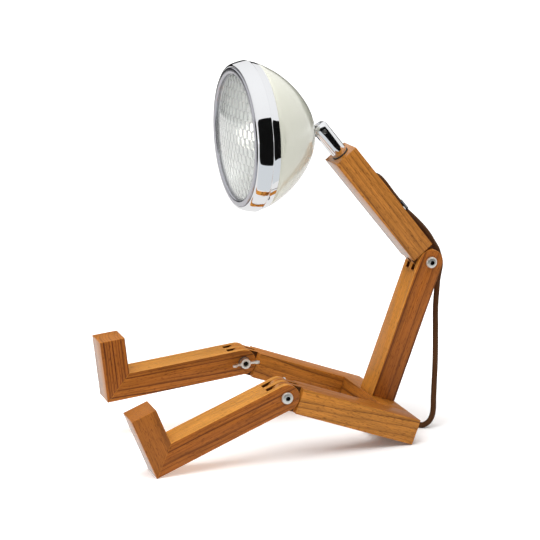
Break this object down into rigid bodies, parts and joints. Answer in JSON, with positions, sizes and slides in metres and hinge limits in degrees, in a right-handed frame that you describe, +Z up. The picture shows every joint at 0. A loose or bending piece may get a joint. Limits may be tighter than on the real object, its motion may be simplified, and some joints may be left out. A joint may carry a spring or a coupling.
{
  "type": "desk lamp",
  "caption": "Desk lamp in the shape of a sitting robot, with hinged wooden limbs and a round headlamp head on a swivelling chrome neck.",
  "frame": {"origin": "on the ground under the middle of the lamp's length and width", "axes": "+Z up; the lamp faces -Y, and +X is its left side"},
  "size_m": [0.2457, 0.3495, 0.3734],
  "materials": {
    "wood": "oiled",
    "dowel_wood": "raw",
    "chrome": "polished",
    "steel": "polished",
    "enamel": "gloss enamel",
    "glass": "pressed, prismatic back",
    "rubber": "matt",
    "reflector": "polished",
    "ceramic": "glazed",
    "bulb_glass": "frosted",
    "textile": "braided",
    "black_plastic": "fine texture",
    "rocker_plastic": "satin"
  },
  "bodies": {
    "base": {"pelvis_block": "wood", "thigh_left": "wood", "thigh_right": "wood", "pelvis_dowel_left": "dowel_wood", "pelvis_dowel_right": "dowel_wood", "torso_lower": "wood", "hip_dowel_left": "dowel_wood", "hip_dowel_right": "dowel_wood", "bolt_waist": "steel", "washer_waist": "steel", "cord_lower": "textile", "cord_lead": "textile", "cord_coil": "textile", "cord_tail": "textile", "plug_body": "black_plastic", "plug_pins": "steel", "switch_body": "black_plastic"},
    "left_shin": {"shin_left": "wood", "foot_left": "wood", "foot_dowel_left": "dowel_wood", "bolt_knee_left": "steel", "washer_knee_left": "steel"},
    "right_shin": {"shin_right": "wood", "foot_right": "wood", "foot_dowel_right": "dowel_wood", "bolt_knee_right": "steel", "washer_knee_right": "steel"},
    "upper_body": {"torso_upper": "wood", "cord_grommet": "rubber", "cord_clip": "steel", "clip_screw_left": "steel", "clip_screw_right": "steel", "cord_upper": "textile"},
    "neck": {"neck_washer": "rubber", "neck_tube": "chrome", "neck_nipple": "steel", "knuckle_pin": "steel"},
    "head": {"tongue": "steel", "tongue_nut": "steel", "shell": "enamel", "bezel": "chrome", "lens_ring": "chrome", "lens": "glass", "gasket": "rubber", "reflector": "reflector", "lampholder": "ceramic", "bulb": "bulb_glass"},
    "left_knee_nut": {"wingnut_knee_left": "steel"},
    "right_knee_nut": {"wingnut_knee_right": "steel"},
    "waist_nut": {"wingnut_waist": "steel"},
    "rocker": {"switch_rocker": "rocker_plastic"}
  },
  "joints": [
    {"name": "left_knee", "type": "hinge", "parent": "base", "child": "left_shin", "pos_m": [0.0647, -0.01865, 0.06319], "axis": [1, 0, 0], "range_deg": [-130, 45]},
    {"name": "right_knee", "type": "hinge", "parent": "base", "child": "right_shin", "pos_m": [-0.0647, -0.01865, 0.06319], "axis": [1, 0, 0], "range_deg": [-115, 60]},
    {"name": "waist", "type": "hinge", "parent": "base", "child": "upper_body", "pos_m": [0, 0.15763, 0.16343], "axis": [1, 0, 0], "range_deg": [-90, 30], "deforming": ["cord_upper", "cord_lower"]},
    {"name": "neck_swivel", "type": "hinge", "parent": "upper_body", "child": "neck", "pos_m": [0, 0.06897, 0.2769], "axis": [0, -0.6157, 0.788], "range_deg": [-150, 150]},
    {"name": "head_tilt", "type": "hinge", "parent": "neck", "child": "head", "pos_m": [0, 0.05007, 0.30109], "axis": [1, 0, 0], "range_deg": [-50, 20]},
    {"name": "left_knee_nut_turn", "type": "hinge", "parent": "left_shin", "child": "left_knee_nut", "pos_m": [0.0647, -0.01865, 0.06319], "axis": [1, 0, 0], "continuous": true},
    {"name": "right_knee_nut_turn", "type": "hinge", "parent": "right_shin", "child": "right_knee_nut", "pos_m": [-0.0647, -0.01865, 0.06319], "axis": [1, 0, 0], "continuous": true},
    {"name": "waist_nut_turn", "type": "hinge", "parent": "base", "child": "waist_nut", "pos_m": [0, 0.15763, 0.16343], "axis": [1, 0, 0], "continuous": true},
    {"name": "switch_rock", "type": "hinge", "parent": "base", "child": "rocker", "pos_m": [-0.061, 0.12565, 0.01], "axis": [0, 1, 0], "range_deg": [-14, 0]}
  ]
}
